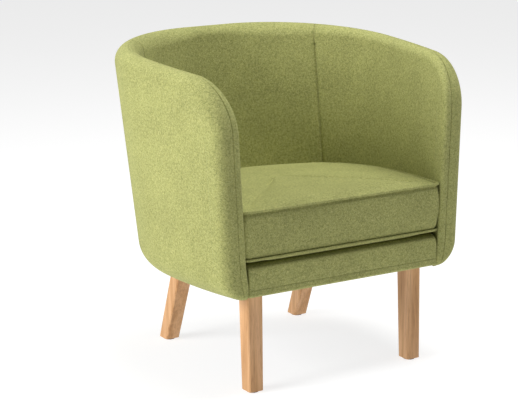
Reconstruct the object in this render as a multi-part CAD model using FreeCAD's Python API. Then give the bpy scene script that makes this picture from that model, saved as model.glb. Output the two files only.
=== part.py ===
import FreeCAD, Part
import math
import os

Vector = FreeCAD.Vector

# A tub chair: an upholstered U-shaped shell on a rail frame, a loose boxed cushion and raked oak legs.
# Millimetres. X runs across the chair, the sitter faces -Y, and Z is up from the floor.

# Shell, outside the fabric
overall_height = 765.0
overall_depth = 655.6
rim_half_width = 383.0
side_sweep = 34.0
rim_corner_radius = 325.0
rim_rise = 31.0
base_height = 236.0
side_draft = 25.0
back_draft = 103.5
front_draft = 9.0
wall = 59.0
back_panel_radius = 403.0
crease_angle = 43.0

# Roundings of the shell
arm_corner_radius = 119.0
rim_outer_round = 38.0
base_round = 58.0
arm_outer_edge = 18.0
arm_inner_edge = 11.0
arm_base_edge = 20.0
rounding_steps = 5
edge_steps = 3
arm_shares = (0.35, 0.56, 0.78, 1.0)
side_steps = 3
corner_steps = 5

# Layers of the wall, from the outside in
fabric = 2.0
seat_gap = 0.3
outer_foam = 8.0
base_foam = 11.0
base_shelf = 7.0
board = 3.0
stud = 22.0
webbing = 1.6
rim_foam = 24.0

# Rail frame
rail_thickness = 22.0
rail_height = 48.0
rail_front_inset = 87.0
rail_back_inset = 124.0
back_rail_setback = 193.8
rail_lift = 16.0
rib_thickness = 18.0
rib_clearance = 1.0
post_shares = (0.1, 0.9)
wall_strap_shares = (0.2, 0.8)
block_leg = 82.0
block_cut = 36.9
block_height = 45.0

# Front rail upholstery
front_rail_bottom = 240.0
front_rail_round = 13.0
rail_foam = 8.0
rail_setback = 1.0

# Seat deck
strap_width = 50.0
deck_pad = 10.0
deck_fabric = 1.0
straps_along = 5
straps_across = 4
strap_margin = 0.4
strap_end = 4.0
deck_pad_clearance = 2.0
deck_cloth_clearance = 1.0

# Loose cushion
cushion_border = 110.0
cushion_bottom_crown = 12.0
cushion_top_crown = 16.0
cushion_pitch = 0.064
top_crown_steps = ((0.0, 0.0), (0.33, 6.0), (0.6, 20.0), (0.82, 50.0), (0.95, 95.0), (1.0, 140.0))
bottom_crown_steps = ((0.0, 0.0), (0.4, 8.0), (0.75, 30.0), (1.0, 80.0))
crown_corner_share = 0.4
cushion_clearance = 8.0
cushion_corner_radius = 14.0
cushion_back_steps = 5
cushion_front_bulge = 2.5
cushion_side_draw = 2.5
cushion_front_setback = 2.0
piping_radius = 3.0
piping_sides = 8
piping_clearance = 0.1

# Zip in the back of the cushion border
zip_radius = 420.0
zip_recess = 26.0
zip_tape_height = 34.0
zip_half_angle = 26.0
zip_start_angle = 24.0
chain_height = 6.0
chain_thickness = 1.8
slider_length = 9.0
slider_wall = 1.6
zip_margin = 1.0
zip_end_angle = 1.0
chain_end_angle = 0.5
chain_clearance = 0.05
tab_share = 0.8

# Legs, glides and their bolts
leg_foot_side = 37.0
leg_top_side = 41.0
leg_edge = 2.5
leg_clearance = 1.0
front_foot_inset = 124.0
front_foot_setback = 51.7
front_leg_rake = 9.0
rear_foot_inset = 156.4
rear_foot_setback = 154.4
rear_leg_rake = -84.5
glide_height = 3.5
glide_bevel = 1.2
glide_radius = 15.0
glide_sides = 12
round_sides = 12
nail_radius = 1.6
nail_length = 14.0
nail_sides = 6
nut_sides = 6
bolt_radius = 4.0
bolt_in_leg = 45.0
bolt_above = 40.0
bolt_clearance = 0.05
nut_width = 17.0
nut_height = 8.0
dust_cloth = 1.0
cloth_overlap = 4.0

# How far a cut runs past the face that it opens
overcut = 1.0

# Places worked out from the sizes above
half_depth = overall_depth / 2
front_half_width = rim_half_width - side_sweep
shell_height = overall_height - base_height
back_slope = back_draft / shell_height
rim_front_y = -half_depth + front_draft * (1 - arm_base_edge / shell_height)
rim_back_y = half_depth + rim_outer_round * (1 + back_slope - math.hypot(1, back_slope))
corner_x = rim_half_width - rim_corner_radius
corner_y = rim_back_y - rim_corner_radius
back_shift = back_draft - side_draft
side_run = corner_y - rim_front_y
side_radius = (side_run ** 2 + side_sweep ** 2) / (2 * side_sweep)
foam_skin = fabric + seat_gap
board_face = foam_skin + outer_foam
stud_face = board_face + board + 2 * seat_gap
web_face = stud_face + stud + seat_gap
inner_foam_face = web_face + webbing + seat_gap
rib_top = base_height + rail_lift + rail_height
rib_bottom = rib_top - rib_thickness
deck_top = rib_top + 2 * (webbing + seat_gap) + seat_gap + deck_pad + deck_fabric
seam_low = deck_top + seat_gap + cushion_bottom_crown
seam_high = seam_low + cushion_border
zip_height = (seam_low + seam_high) / 2
leg_top = base_height
rail_front_half_width = front_half_width - rail_front_inset
rail_back_half_width = front_half_width - rail_back_inset
back_rail_face = half_depth - back_rail_setback
front_foot_x = front_half_width - front_foot_inset
front_foot_y = front_foot_setback - half_depth
rear_foot_x = front_half_width - rear_foot_inset
rear_foot_y = half_depth - rear_foot_setback
arm_start = arm_outer_edge + seat_gap


class Station:
    """One upright cut through the wall: it places a depth into the wall and a height in space."""

    def __init__(self, origin, inward, forward, from_front):
        self.origin = origin
        self.inward = inward
        self.forward = forward
        self.from_front = from_front
        self.thickness = wall

    def place(self, depth, height):
        share = (overall_height - height) / shell_height
        moved = self.origin + self.inward * (depth + side_draft * share)
        return Vector(moved.x, moved.y - self.forward * share, height)

    def rim(self, inset=0.0):
        """Height of the rim's crest, drawn in by an inset."""
        slope = rim_rise * (rim_back_y - self.origin.y) / (rim_back_y - rim_front_y)
        height = overall_height - slope - inset
        if self.from_front < arm_corner_radius:
            inner = arm_corner_radius - inset
            run = arm_corner_radius - self.from_front
            height -= inner - math.sqrt(max(inner ** 2 - run ** 2, 0.0))
        return height


def edge_inset(radius, inset, from_front):
    """How far a rounded front edge draws in at a distance from the front."""
    if from_front >= radius:
        return inset
    return radius - math.sqrt(max((radius - inset) ** 2 - (radius - from_front) ** 2, 0.0))


def side_station(from_front):
    y = rim_front_y + from_front
    x = rim_half_width - (side_radius - math.sqrt(side_radius ** 2 - (y - corner_y) ** 2))
    forward = front_draft + (back_shift - front_draft) * from_front / side_run
    return Station(Vector(x, y, 0), Vector(-1, 0, 0), forward, from_front)


def panel_thickness(angle):
    """Wall thickness where the flatter inner back panel spans the corner."""
    outward = Vector(math.cos(math.radians(angle)), math.sin(math.radians(angle)), 0)
    away = Vector(corner_x, corner_y - (rim_back_y - wall - back_panel_radius), 0)
    along = away.dot(outward)
    reach = -along + math.sqrt(along ** 2 - away.dot(away) + back_panel_radius ** 2)
    return rim_corner_radius - reach


def corner_station(angle):
    outward = Vector(math.cos(math.radians(angle)), math.sin(math.radians(angle)), 0)
    origin = Vector(corner_x, corner_y, 0) + outward * rim_corner_radius
    station = Station(origin, outward * -1, back_shift, side_run)
    if angle >= crease_angle:
        station.thickness = panel_thickness(angle)
    else:
        grown = panel_thickness(crease_angle) - wall
        station.thickness = wall + grown * (angle / crease_angle) ** 2
    return station


def back_centre():
    return Station(Vector(0, rim_back_y, 0), Vector(0, -1, 0), back_shift, side_run)


def mirrored(station):
    twin = Station(
        Vector(-station.origin.x, station.origin.y, 0),
        Vector(-station.inward.x, station.inward.y, 0),
        station.forward,
        station.from_front,
    )
    twin.thickness = station.thickness
    return twin


def front_stations(inset, start=0.0):
    """Stations of the right arm from its front to the end of its rounded corner."""
    reach = arm_outer_edge - inset
    turns = [math.pi / 2 * k / edge_steps for k in range(edge_steps + 1)]
    places = [arm_outer_edge - reach * math.cos(t) for t in turns]
    places += [arm_corner_radius * share for share in arm_shares]
    if start:
        places = [start] + [d for d in places if d > start + seat_gap]
    return [side_station(d) for d in places]


def side_stations():
    """Stations along the side of the right arm, back to where the corner begins."""
    run = side_run - arm_corner_radius
    return [side_station(arm_corner_radius + run * k / side_steps) for k in range(side_steps)]


def corner_stations(first, last):
    return [corner_station(first + (last - first) * k / corner_steps) for k in range(corner_steps + 1)]


def side_to_crease():
    """The right wall from behind its rounded front to the crease seam."""
    return side_stations() + corner_stations(0.0, crease_angle)


def crease_to_middle():
    """The right half of the back wall, from the crease seam to the middle."""
    return corner_stations(crease_angle, 90.0) + [back_centre()]


def arm_to_middle():
    return side_to_crease() + crease_to_middle()[1:]


def rounding(start, corner, end):
    """Points of a rounding from start to end whose tangents meet at the corner."""
    def at(turn):
        return corner + (start - corner) * (1 - math.sin(turn)) + (end - corner) * (1 - math.cos(turn))
    return [at(math.pi / 2 * k / rounding_steps) for k in range(rounding_steps + 1)]


def polygon(points):
    return Part.makePolygon(points + [points[0]])


def line(start, end):
    return Part.LineSegment(start, end).toShape()


def loft(outlines, closed=False):
    """Solid through outlines with equally many corners; each strip is folded once, so all faces are flat."""
    faces = []
    if not closed:
        faces = [Part.Face(polygon(outlines[0][::-1])), Part.Face(polygon(outlines[-1]))]
    following = outlines[1:] + outlines[:1] if closed else outlines[1:]
    for near, far in zip(outlines, following):
        for k in range(len(near)):
            n = (k + 1) % len(near)
            faces.append(Part.Face(polygon([near[k], near[n], far[n]])))
            faces.append(Part.Face(polygon([near[k], far[n], far[k]])))
    solid = Part.makeSolid(Part.makeShell(faces))
    if solid.Volume < 0:
        solid.reverse()
    return solid


def along(section, stations):
    return loft([section(s) for s in stations])


def mirror_x(shape):
    return shape.mirror(Vector(0, 0, 0), Vector(1, 0, 0))


def both_halves(right):
    """A shape and its mirror image, joined where they meet in the middle."""
    return right.fuse(mirror_x(right)).removeSplitter()


def box(low, high):
    size = high - low
    return Part.makeBox(size.x, size.y, size.z, low)


def base_low(station, inset):
    """Lowest height of the base at a station, lifted by the arm's rounded front edge."""
    return base_height + edge_inset(arm_base_edge, inset, station.from_front)


def shelf(station):
    """Height where the outer cover's lower part ends behind the inner cover."""
    return base_low(station, 0.0) + base_shelf


def outer_face(station, inset):
    """The outside from under the base, up the wall and over to the crest seam."""
    side = edge_inset(arm_outer_edge, inset, station.from_front)
    low = base_low(station, inset)
    top = station.rim(inset)
    place = station.place
    base = rounding(place(base_round, low), place(side, low), place(side, base_height + base_round))
    roll = rounding(place(side, top - rim_outer_round + inset), place(side, top), place(rim_outer_round, top))
    return base + roll


def inner_face(station, inset):
    """The inside from the crest seam over the rim, to where the upright face begins."""
    side = station.thickness - edge_inset(arm_inner_edge, inset, station.from_front)
    top = station.rim(inset)
    crest = top - (station.thickness - rim_outer_round) + inset
    place = station.place
    return rounding(place(rim_outer_round, top), place(side, top), place(side, crest)), side


def outer_region(station, inset, reach):
    """Section from the outside to the crest seam, with the rounded base below."""
    seam = rim_outer_round + reach
    foot = base_round + reach
    level = shelf(station) + reach
    place = station.place
    points = outer_face(station, inset)
    if reach:
        points.append(place(seam, station.rim(inset)))
    points += [place(seam, level), place(foot, level)]
    if reach:
        points.append(place(foot, base_low(station, inset)))
    return points


def inner_bottom(station):
    """Where the inner cover ends: at the base in front, above the rib behind the arm's front pad."""
    if station.from_front <= arm_outer_edge:
        return shelf(station) + seat_gap
    return rib_top + seat_gap


def inner_region(station, inset, reach):
    """Section from the crest seam to the inside face."""
    points, side = inner_face(station, inset)
    low = inner_bottom(station) - reach
    seam = rim_outer_round - reach
    points += [station.place(side, low), station.place(seam, low)]
    if reach:
        points.append(station.place(seam, station.rim(inset)))
    return points


def outer_skin(station):
    """Section of the fabric alone behind the arm's front, from under the base to the crest seam."""
    return outer_face(station, 0.0) + outer_face(station, fabric)[::-1]


def inner_skin(station):
    """Section of the inner fabric alone, from the crest seam down the inside."""
    outside, side = inner_face(station, 0.0)
    inside, inner = inner_face(station, fabric)
    low = inner_bottom(station)
    return outside + [station.place(side, low), station.place(inner, low)] + inside[::-1]


def front_cap(region):
    """Fabric over the rounded front of the right arm."""
    stations = front_stations(0.0)
    step = [side_station(arm_start)]
    stations[edge_steps + 1:edge_steps + 1] = step
    outside = loft([region(s, 0.0, 0.0) for s in stations])
    stations = front_stations(fabric)
    beyond = [side_station(arm_corner_radius + fabric)]
    hollow = stations[:edge_steps + 1] + step + stations[edge_steps + 1:] + beyond
    return outside.cut(loft([region(s, fabric, fabric) for s in hollow]))


def make_outer_cover():
    """One piece of fabric round the outside, over the rim and round both arm fronts."""
    return both_halves(front_cap(outer_region).fuse(along(outer_skin, arm_to_middle())))


def make_inner_side_cover():
    return front_cap(inner_region).fuse(along(inner_skin, side_to_crease())).removeSplitter()


def make_inner_back_cover():
    return both_halves(along(inner_skin, crease_to_middle()))


def foam_section(station):
    """Foam over the frame: thin outside, over the rim and thick inside, with a cavity for the frame."""
    roll = stud_face + stud
    cavity = station.rim(foam_skin) - rim_foam
    floor = rib_bottom - seat_gap
    place = station.place
    inner, side = inner_face(station, foam_skin)
    base = base_height + base_foam
    frame = [(side, rib_top + seat_gap), (inner_foam_face, rib_top + seat_gap), (inner_foam_face, cavity),
             (board_face, cavity), (board_face, floor), (roll, floor), (roll, base), (base_round, base)]
    return outer_face(station, foam_skin) + inner[1:] + [place(*p) for p in frame]


def make_arm_foam():
    return along(foam_section, front_stations(foam_skin, arm_start) + side_to_crease()[1:])


def make_back_foam():
    return both_halves(along(foam_section, crease_to_middle()))


def make_arm_front_pad():
    """Foam on the front of the arm post, with the arm's rounded edges."""
    def section(station):
        inner, side = inner_face(station, foam_skin)
        outer = outer_face(station, foam_skin)
        across = base_round - edge_inset(arm_outer_edge, foam_skin, station.from_front)
        first_step = across * math.sin(math.pi / 2 / rounding_steps)
        foot = outer[0] + (outer[1] - outer[0]) * ((base_round - side) / first_step)
        return [foot] + outer[1:] + inner[1:]
    return along(section, front_stations(foam_skin)[:edge_steps + 1])


def band(shallow, deep, low, high):
    """Section of a bent sheet or rib; low and high give its heights at a station."""
    def section(s):
        corners = [(shallow, low), (deep, low), (deep, high), (shallow, high)]
        return [s.place(depth, height(s)) for depth, height in corners]
    return section


def cavity_top(station):
    return station.rim(foam_skin) - rim_foam - seat_gap


def rib_low(station):
    return cavity_top(station) - rib_thickness


def under_top_rib(station):
    return rib_low(station) - seat_gap


def rib_underside(station):
    return rib_bottom


def on_bottom_rib(station):
    return rib_top + seat_gap


board_section = band(board_face + seat_gap, board_face + seat_gap + board, rib_underside, cavity_top)
top_rib_section = band(stud_face, stud_face + stud, rib_low, cavity_top)
post_section = band(stud_face, stud_face + stud, on_bottom_rib, under_top_rib)
strap_section = band(web_face, web_face + webbing, on_bottom_rib, cavity_top)


def make_side_board():
    first = arm_corner_radius * arm_shares[0]
    return along(board_section, front_stations(foam_skin, first) + side_to_crease()[1:])


def make_back_board():
    return both_halves(along(board_section, crease_to_middle()))


def make_top_rib(stations):
    return along(top_rib_section, stations)


def make_arm_post():
    """Front post of the arm, with a head cut to the rounded corner."""
    def head_low(station):
        return station.rim(foam_skin + rim_foam + stud + rib_thickness)
    stations = front_stations(foam_skin, arm_start + seat_gap)
    post = along(band(stud_face, stud_face + stud, on_bottom_rib, cavity_top), stations[:2])
    head = along(band(stud_face, stud_face + stud, head_low, cavity_top), stations[1:])
    return post.fuse(head).removeSplitter()


def part_of_strip(section, stations, first, last):
    """A straight post or strap over part of the strip between two stations."""
    near, far = [section(s) for s in stations]
    ends = [[a + (b - a) * share for a, b in zip(near, far)] for share in (first, last)]
    return loft(ends)


def make_posts_and_straps():
    """Posts of the back corner and the back, and the straps between them, for the right half."""
    side = side_to_crease()
    back = crease_to_middle()
    corner_post = part_of_strip(post_section, side[-2:], *post_shares)
    back_post = part_of_strip(post_section, back[3:5], *post_shares)
    arm_straps = [part_of_strip(strap_section, side[k:k + 2], *wall_strap_shares) for k in range(side_steps)]
    arm_straps.append(part_of_strip(strap_section, side[side_steps + 1:side_steps + 3], 0.0, 1.0))
    back_straps = [part_of_strip(strap_section, back[k:k + 2], 0.0, 1.0) for k in (0, 2)]
    middle_strap = part_of_strip(strap_section, back[-2:], 0.5, 1.0)
    return corner_post, back_post, arm_straps, back_straps, both_halves(middle_strap)


def base_outline(depth, height, stations):
    """Closed plan of the shell at a depth into the wall, straight across the front."""
    right = [s.place(depth, height) for s in stations]
    return right + [Vector(-p.x, p.y, p.z) for p in reversed(right[:-1])]


def make_bottom_rib_plate():
    """Plywood rib that carries the posts round the rails."""
    stations = front_stations(foam_skin, arm_start + rib_clearance) + arm_to_middle()[1:]
    points = base_outline(stud_face, rib_bottom, stations)
    plate = Part.Face(polygon(points)).extrude(Vector(0, 0, rib_thickness))
    low_y, high_y = -overall_depth, back_rail_face + seat_gap
    right = [Vector(rail_outer_x(y) + seat_gap, y, base_height) for y in (low_y, high_y)]
    left = [Vector(-p.x, p.y, p.z) for p in reversed(right)]
    hole = Part.Face(polygon(right + left)).extrude(Vector(0, 0, overall_height))
    return plate.cut(hole)


def split_rib(plate):
    """Left, right and back parts of the bottom rib, butted behind the back rail."""
    joint = back_rail_face + seat_gap
    far = overall_depth
    back = plate.common(box(Vector(-far, joint, 0), Vector(far, far, overall_height)))
    right = plate.common(box(Vector(0, -far, 0), Vector(far, joint, overall_height)))
    left = plate.common(box(Vector(-far, -far, 0), Vector(0, joint, overall_height)))
    return left, right, back


def front_face_y(height):
    share = (overall_height - height) / shell_height
    return rim_front_y - front_draft * share


rail_low = base_height + rail_lift + seat_gap
rail_front = front_face_y(front_rail_bottom) + fabric + rail_foam + 2 * seat_gap + rail_setback
rail_back = rail_front + rail_thickness
rail_seat = rail_front + rail_thickness / 2
back_rail_inner = back_rail_face - rail_thickness


def rail_outer_x(y):
    """Outer face of the side rails, which draw together towards the back."""
    share = (y - rail_back) / (back_rail_face - rail_back)
    return rail_front_half_width + (rail_back_half_width - rail_front_half_width) * share


def rail_inner_x(y):
    return rail_outer_x(y) - rail_thickness


def prism(points, low, high):
    flat = [Vector(x, y, low) for x, y in points]
    return Part.Face(polygon(flat)).extrude(Vector(0, 0, high - low))


def frustum(lower, upper):
    """Solid of flat faces between two outlines with parallel edges."""
    count = len(lower)
    faces = [Part.Face(polygon(lower)), Part.Face(polygon(upper))]
    for k in range(count):
        n = (k + 1) % count
        faces.append(Part.Face(polygon([lower[k], lower[n], upper[n], upper[k]])))
    return Part.makeSolid(Part.makeShell(faces))


def regular(centre, radius, sides, z=None):
    """Corners of a regular outline that touches a circle of this radius."""
    reach = radius / math.cos(math.pi / sides)
    turns = [2 * math.pi * (k + 0.5) / sides for k in range(sides)]
    return [Vector(centre.x + reach * math.cos(t), centre.y + reach * math.sin(t), z) for t in turns]


def make_front_rail():
    return box(Vector(-rail_front_half_width, rail_front, rail_low),
               Vector(rail_front_half_width, rail_back, rib_top))


def make_side_rail():
    points = [(rail_inner_x(rail_back), rail_back), (rail_outer_x(rail_back), rail_back),
              (rail_outer_x(back_rail_face), back_rail_face), (rail_inner_x(back_rail_face), back_rail_face)]
    return prism(points, rail_low, rib_top)


def make_back_rail():
    near, far = rail_inner_x(back_rail_inner), rail_inner_x(back_rail_face)
    right = [(near, back_rail_inner), (far, back_rail_face)]
    points = right + [(-x, y) for x, y in reversed(right)]
    return prism(points, rail_low, rib_top)


def leg_ends(foot_x, foot_y, rake):
    return Vector(foot_x, foot_y, glide_height), Vector(foot_x, foot_y + rake, leg_top)


front_leg_ends = leg_ends(front_foot_x, front_foot_y, front_leg_rake)
rear_leg_ends = leg_ends(rear_foot_x, rear_foot_y, rear_leg_rake)


def chamfered_square(centre, side, edge):
    half = side / 2
    near = half - edge
    ring_points = [(half, -near), (half, near), (near, half), (-near, half),
                   (-half, near), (-half, -near), (-near, -half), (near, -half)]
    return [centre + Vector(x, y, 0) for x, y in ring_points]


def upright(centre, radius, low, high, sides=round_sides):
    """A short round bar or bore, drawn with flats because it repeats."""
    return Part.Face(polygon(regular(centre, radius, sides, low))).extrude(Vector(0, 0, high - low))


def make_leg(ends):
    """A square oak leg, tapered to the foot and raked, bored for its bolt and glide nail."""
    foot, top = ends
    leg = frustum(chamfered_square(foot, leg_foot_side, leg_edge),
                  chamfered_square(top, leg_top_side, leg_edge))
    leg = leg.cut(upright(top, bolt_radius + bolt_clearance, leg_top - bolt_in_leg, leg_top + overcut))
    nail = upright(foot, nail_radius + bolt_clearance, glide_height - overcut,
                   glide_height + nail_length, nail_sides)
    return leg.cut(nail)


def make_glide(ends):
    foot = ends[0]
    pad = frustum(regular(foot, glide_radius - glide_bevel, glide_sides, 0),
                  regular(foot, glide_radius, glide_sides, glide_height))
    nail_top = glide_height + nail_length - overcut
    return pad.fuse(upright(foot, nail_radius, glide_height, nail_top, nail_sides))


def make_bolt(ends):
    top = ends[1]
    return upright(top, bolt_radius, leg_top - bolt_in_leg + overcut, leg_top + bolt_above)


block_low = base_height + seat_gap
block_high = base_height + block_height


def make_nut(ends):
    """A hexagonal nut let into the top of the corner block."""
    top = ends[1]
    nut = upright(top, nut_width / 2, block_high - nut_height, block_high, nut_sides)
    return nut.cut(upright(top, bolt_radius + bolt_clearance, block_low, block_high + nut_height))


def make_block(ends, rail_y, inward_y):
    """A corner block between two rails, cut off across its inner corner."""
    far_y = rail_y + inward_y * block_leg
    near_x, far_x = rail_inner_x(rail_y), rail_inner_x(far_y)
    points = [(near_x, rail_y), (near_x - block_leg, rail_y),
              (near_x - block_leg, rail_y + inward_y * block_cut),
              (far_x - block_cut, far_y), (far_x, far_y)]
    block = prism(points, block_low, block_high)
    bolt_hole = upright(ends[1], bolt_radius + 2 * bolt_clearance, block_low - overcut, block_high + overcut)
    pocket = upright(ends[1], nut_width / 2 + bolt_clearance, block_high - nut_height,
                     block_high + overcut, nut_sides)
    return block.cut(bolt_hole).cut(pocket)


def make_dust_cloth():
    stations = [side_station(arm_start)] + arm_to_middle()
    points = base_outline(base_round - cloth_overlap, base_height, stations)
    points[0].y = points[-1].y = rail_back
    top = base_height - seat_gap
    cloth = prism([(p.x, p.y) for p in points], top - dust_cloth, top)
    room = leg_top_side + 2 * leg_clearance
    for ends in (front_leg_ends, rear_leg_ends):
        for side in (1, -1):
            centre = Vector(ends[1].x * side, ends[1].y, 0)
            hole = chamfered_square(centre, room, leg_edge)
            cloth = cloth.cut(prism([(p.x, p.y) for p in hole], 0, leg_top))
    return cloth


def rail_profile(inset):
    """Section of the upholstered front rail: over the top, down the face and under."""
    face = front_face_y(front_rail_bottom) + rail_setback + inset
    low = front_rail_bottom + inset
    high = deck_top - inset
    edge = front_rail_round - inset
    points = [Vector(0, rail_seat, low), Vector(0, face, low)]
    points += rounding(Vector(0, face, high - edge), Vector(0, face, high), Vector(0, face + edge, high))
    return Part.Face(polygon(points + [Vector(0, rail_seat, high)]))


def along_x(face, half):
    moved = face.copy()
    moved.translate(Vector(-half, 0, 0))
    return moved.extrude(Vector(2 * half, 0, 0))


rail_end = front_half_width - wall - side_draft - seat_gap


def make_front_rail_cover():
    outside = along_x(rail_profile(0.0), rail_end)
    inside = along_x(rail_profile(fabric), rail_end + overcut)
    room = box(Vector(-overall_depth, rail_seat - overcut, 0),
               Vector(overall_depth, overall_depth, deck_top - fabric))
    return outside.cut(inside).cut(room)


def make_front_rail_foam():
    outside = along_x(rail_profile(foam_skin), rail_end - seat_gap)
    rail = box(Vector(-overall_depth, rail_front - seat_gap, 0),
               Vector(overall_depth, overall_depth, rib_top + 2 * (webbing + seat_gap)))
    return outside.cut(rail)


strap_level = rib_top + seat_gap


def make_straps_along():
    """Elastic straps from the front rail to the back rail."""
    straps = []
    pitch = 2 * rail_inner_x(back_rail_inner) / (straps_along + strap_margin)
    for k in range(straps_along):
        x = (k - (straps_along - 1) / 2) * pitch
        low = Vector(x - strap_width / 2, rail_front + strap_end, strap_level)
        high = Vector(x + strap_width / 2, back_rail_face - strap_end, strap_level + webbing)
        straps.append(box(low, high))
    return Part.makeCompound(straps)


def make_straps_across():
    straps = []
    room = back_rail_inner - rail_back
    pitch = room / (straps_across + strap_margin)
    level = strap_level + webbing + seat_gap
    for k in range(straps_across):
        y = rail_back + (k + (1 + strap_margin) / 2) * pitch
        half = rail_outer_x(y + strap_width / 2) - strap_end
        low = Vector(-half, y - strap_width / 2, level)
        high = Vector(half, y + strap_width / 2, level + webbing)
        straps.append(box(low, high))
    return Part.makeCompound(straps)


def deck_outline(height, clearance):
    stations = [side_station(0.0)] + arm_to_middle()
    right = [s.place(s.thickness + clearance, height) for s in stations]
    right[0].y = rail_seat + seat_gap
    return right + [Vector(-p.x, p.y, p.z) for p in reversed(right[:-1])]


deck_low = strap_level + 2 * (webbing + seat_gap)


def make_deck_pad():
    return Part.Face(polygon(deck_outline(deck_low, deck_pad_clearance))).extrude(Vector(0, 0, deck_pad))


def make_deck_cloth():
    level = deck_low + deck_pad
    cloth = Part.Face(polygon(deck_outline(level, deck_cloth_clearance)))
    return cloth.extrude(Vector(0, 0, deck_fabric - seat_gap))


def cushion_fall(y, height):
    """How far the cushion's upper panel lies below its front edge, so the seat tips back."""
    share = min(max((height - seam_low) / cushion_border, 0.0), 1.0)
    return cushion_pitch * share * (y - cushion_front(seam_high))


def cushion_plan(height, clearance, front_y, radius):
    """Right half of the cushion's plan, which follows the inside of the wall at a clearance."""
    share = (overall_height - height) / shell_height
    squeeze = (back_shift - front_draft) * share / side_run
    start = (front_y + radius - rim_front_y + front_draft * share) / (1 - squeeze)

    def inside(station):
        depth = station.thickness + clearance
        level = station.place(depth, height)
        lowered = station.place(depth, height - cushion_fall(level.y, height))
        return Vector(lowered.x, lowered.y, height)
    run = side_run - start
    side = [inside(side_station(start + run * k / side_steps)) for k in range(side_steps)]
    turn = [inside(s) for s in side_to_crease()[side_steps:]]
    front_end = Vector(side[0].x - radius, side[0].y - radius, height)
    corner = rounding(front_end, Vector(side[0].x, front_end.y, height), side[0])[:-1]
    last = turn[-1]
    middle = inside(back_centre())
    drop = middle.y - last.y
    back_radius = (last.x ** 2 + drop ** 2) / (2 * drop)
    spread = math.asin(last.x / back_radius)
    turns = [spread * k / cushion_back_steps for k in range(cushion_back_steps - 1, 0, -1)]
    centre_y = middle.y - back_radius
    back = [Vector(back_radius * math.sin(t), centre_y + back_radius * math.cos(t), height) for t in turns]
    return corner + side + turn + back + [middle]


def cushion_wire(height, clearance, front_y, radius):
    right = [Vector(p.x, p.y, p.z - cushion_fall(p.y, height))
             for p in cushion_plan(height, clearance, front_y, radius)]
    return right + [Vector(-p.x, p.y, p.z) for p in reversed(right[:-1])]


def cushion_front(height):
    return front_face_y(height) + cushion_front_setback + 2 * piping_radius


def cushion_level(height, side=0.0, front=0.0, corner=0.0):
    """Plan at a height, drawn in by a side and a front allowance, with a larger corner."""
    return cushion_wire(height, cushion_clearance + side, cushion_front(height) + front,
                        cushion_corner_radius + corner)


def zip_centre():
    """The zip runs on an arc about an upright axis in the mid plane."""
    back = back_centre()
    face = back.place(back.thickness, zip_height)
    return Vector(0, face.y - zip_recess - zip_radius, 0)


def ring(inner, outer, low, high, half_angle, start=0.0):
    """Part of a ring about the zip axis, as wide as twice the half angle."""
    centre = zip_centre()
    def point(radius, angle):
        a = math.radians(90 - angle)
        return Vector(radius * math.cos(a), centre.y + radius * math.sin(a), low)
    first, last = start - half_angle, start + half_angle
    face = Part.Face(Part.Wire([
        Part.Arc(point(outer, first), point(outer, start), point(outer, last)).toShape(),
        line(point(outer, last), point(inner, last)),
        Part.Arc(point(inner, last), point(inner, start), point(inner, first)).toShape(),
        line(point(inner, first), point(outer, first)),
    ]))
    return face.extrude(Vector(0, 0, high - low))


def make_crown(seam, rise, steps):
    """A panel of fabric over fibre: flat on the core and crowned by rise, which is negative below."""
    levels = [cushion_level(seam + rise * share, inset, inset, inset * crown_corner_share)
              for share, inset in steps]
    return loft(levels)


def make_cushion():
    """Foam core, crowned top and bottom panels, and the border with a pocket for its zip."""
    low, high = seam_low + seat_gap, seam_high - seat_gap
    draw = cushion_side_draw
    inset = foam_skin + draw
    core = loft([cushion_level(z, inset, foam_skin, -foam_skin) for z in (low, high)])
    inset = fabric + draw
    ends = (seam_low - overcut, seam_high + overcut)
    hollow = loft([cushion_level(z, inset, fabric, -fabric) for z in ends])
    outside = loft([cushion_level(seam_low), cushion_level(zip_height, draw, -cushion_front_bulge),
                    cushion_level(seam_high)])
    half = zip_tape_height / 2
    pocket = ring(zip_radius - fabric - seat_gap, zip_radius + 4 * zip_recess, zip_height - half - zip_margin,
                  zip_height + half + zip_margin, zip_half_angle + zip_end_angle)
    border = outside.cut(hollow).cut(pocket)
    top = make_crown(seam_high + seat_gap, cushion_top_crown, top_crown_steps)
    bottom = make_crown(seam_low - seat_gap, -cushion_bottom_crown, bottom_crown_steps)
    return core.cut(pocket), top, bottom, border


def make_zip_tape():
    half = zip_tape_height / 2
    return ring(zip_radius - fabric, zip_radius, zip_height - half, zip_height + half, zip_half_angle)


def make_zip_chain():
    return ring(zip_radius + chain_clearance, zip_radius + chain_thickness, zip_height - chain_height / 2,
                zip_height + chain_height / 2, zip_half_angle - chain_end_angle)


def make_zip_slider():
    """A channel that straddles the chain, with the short tab such hidden zips have."""
    half = math.degrees(slider_length / 2 / zip_radius)
    free = seat_gap
    outer = chain_height / 2 + free + slider_wall
    start = zip_radius + free
    top = zip_radius + chain_thickness + free + slider_wall
    body = ring(start, top, zip_height - outer, zip_height + outer, half, zip_start_angle)
    channel = ring(start - overcut, zip_radius + chain_thickness + free, zip_height - chain_height / 2 - free,
                   zip_height + chain_height / 2 + free, half + overcut, zip_start_angle)
    tab = ring(top, top + slider_wall, zip_height - slider_wall, zip_height + slider_wall,
               half * tab_share, zip_start_angle)
    return body.cut(channel).fuse(tab)


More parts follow.
